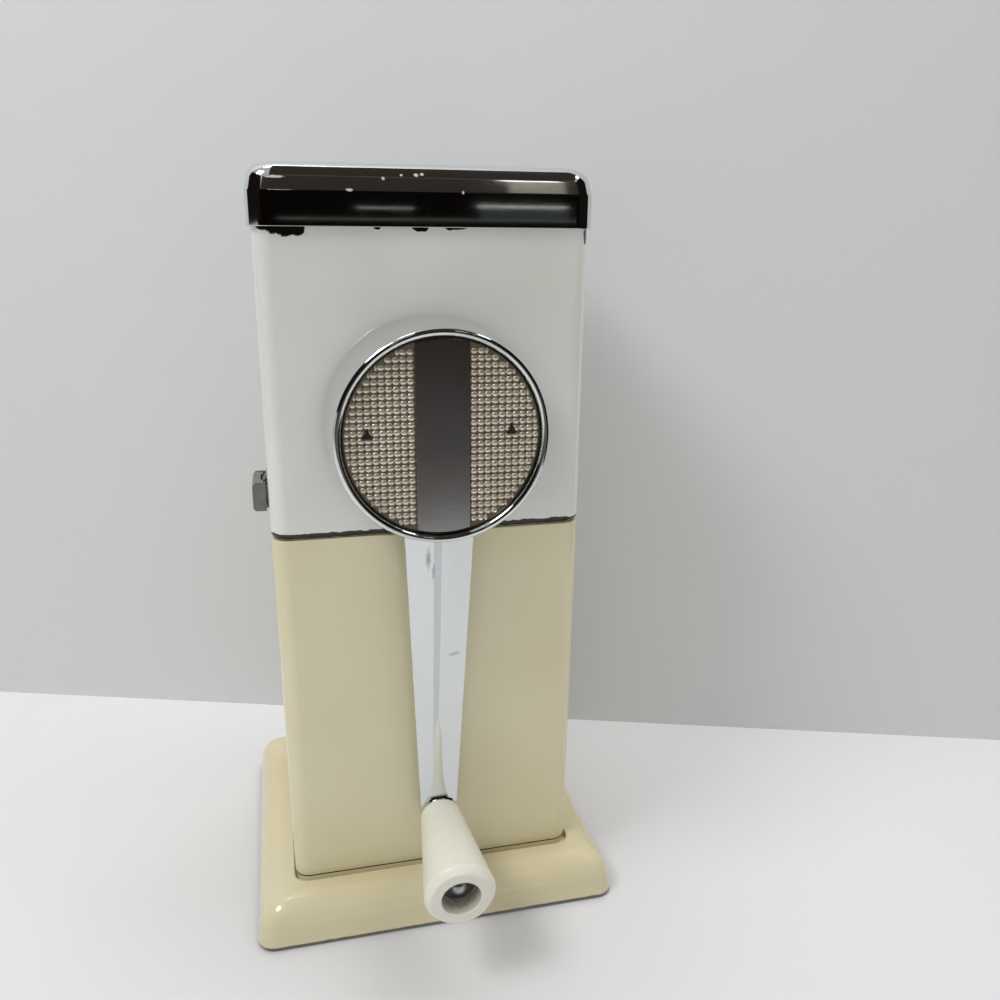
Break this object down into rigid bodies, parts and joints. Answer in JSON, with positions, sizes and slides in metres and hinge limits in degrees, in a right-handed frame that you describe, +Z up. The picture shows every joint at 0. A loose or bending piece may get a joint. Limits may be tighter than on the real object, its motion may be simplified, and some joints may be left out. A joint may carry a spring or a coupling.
{
  "type": "hand crank ice crusher",
  "caption": "Table-top ice crusher: hinged lid over a hopper, toothed rotor turned by a front crank with a knob, and a receptacle below on a flared base.",
  "frame": {"origin": "on the table, at the middle of the upright body, on the underside of the rubber ring", "axes": "+X to the right seen from the crank, +Y from the crank to the hinge at the back, +Z up"},
  "size_m": [0.1182, 0.1412, 0.2358],
  "materials": {
    "cream_moulding": "moulded, satin gloss",
    "white_enamel": "vitreous enamel, glossy",
    "chrome_plate": "bright plate",
    "badge_beads": "fine embossed beads",
    "grey_steel": "dull",
    "zinc_steel": "zinc plated",
    "cast_aluminium": "as cast",
    "tinned_iron": "tinned",
    "bronze": "turned",
    "black_rubber": "matt",
    "ivory_plastic": "turned and polished"
  },
  "bodies": {
    "base": {"base": "cream_moulding", "rubber_foot": "black_rubber", "base_screws": "zinc_steel", "receptacle": "cream_moulding"},
    "head": {"head_shell": "white_enamel", "hopper_liner": "zinc_steel", "front_plate": "cast_aluminium", "rear_plate": "cast_aluminium", "fine_comb": "tinned_iron", "coarse_comb": "tinned_iron", "tie_bolts": "zinc_steel", "tie_nuts": "zinc_steel", "front_bushing": "bronze", "rear_bushing": "bronze", "bearing_screws": "zinc_steel", "catch_bracket": "grey_steel", "catch_pin": "zinc_steel", "catch_spring": "zinc_steel", "body_hinge_leaf": "chrome_plate", "body_hinge_rivets": "chrome_plate", "hinge_pin": "zinc_steel"},
    "lid": {"lid": "chrome_plate", "lid_hinge_leaf": "chrome_plate", "lid_hinge_rivets": "chrome_plate"},
    "crank": {"crank": "chrome_plate", "badge": "badge_beads", "badge_ring": "chrome_plate", "crank_screw": "zinc_steel", "crank_washer": "zinc_steel", "thrust_washer": "bronze", "drive_shaft": "zinc_steel", "knob_rivet": "zinc_steel", "rotor_wheel_1": "tinned_iron", "rotor_wheel_2": "tinned_iron", "rotor_wheel_3": "tinned_iron", "rotor_wheel_4": "tinned_iron", "rotor_spacer_1": "zinc_steel", "rotor_spacer_2": "zinc_steel", "rotor_spacer_3": "zinc_steel", "rotor_spacer_4": "zinc_steel", "rotor_spacer_5": "zinc_steel"},
    "knob": {"knob": "ivory_plastic", "knob_washer": "zinc_steel"},
    "catch": {"catch_lever": "grey_steel"}
  },
  "joints": [
    {"name": "head_lift", "type": "slide", "parent": "base", "child": "head", "axis": [0, 0, 1], "range_m": [0, 0.12]},
    {"name": "lid_hinge", "type": "hinge", "parent": "head", "child": "lid", "pos_m": [0, 0.0451, 0.2186], "axis": [-1, 0, 0], "range_deg": [0, 105]},
    {"name": "crank_spin", "type": "hinge", "parent": "head", "child": "crank", "pos_m": [0, -0.05, 0.165], "axis": [0, -1, 0], "continuous": true},
    {"name": "knob_spin", "type": "hinge", "parent": "crank", "child": "knob", "pos_m": [0, -0.0493, 0.0384], "axis": [0, -0.9962, -0.0872], "continuous": true},
    {"name": "catch_press", "type": "hinge", "parent": "head", "child": "catch", "pos_m": [-0.0492, -0.012, 0.1408], "axis": [0, 1, 0], "range_deg": [0, 12], "stiffness_Nm_per_rad": 0.05}
  ]
}
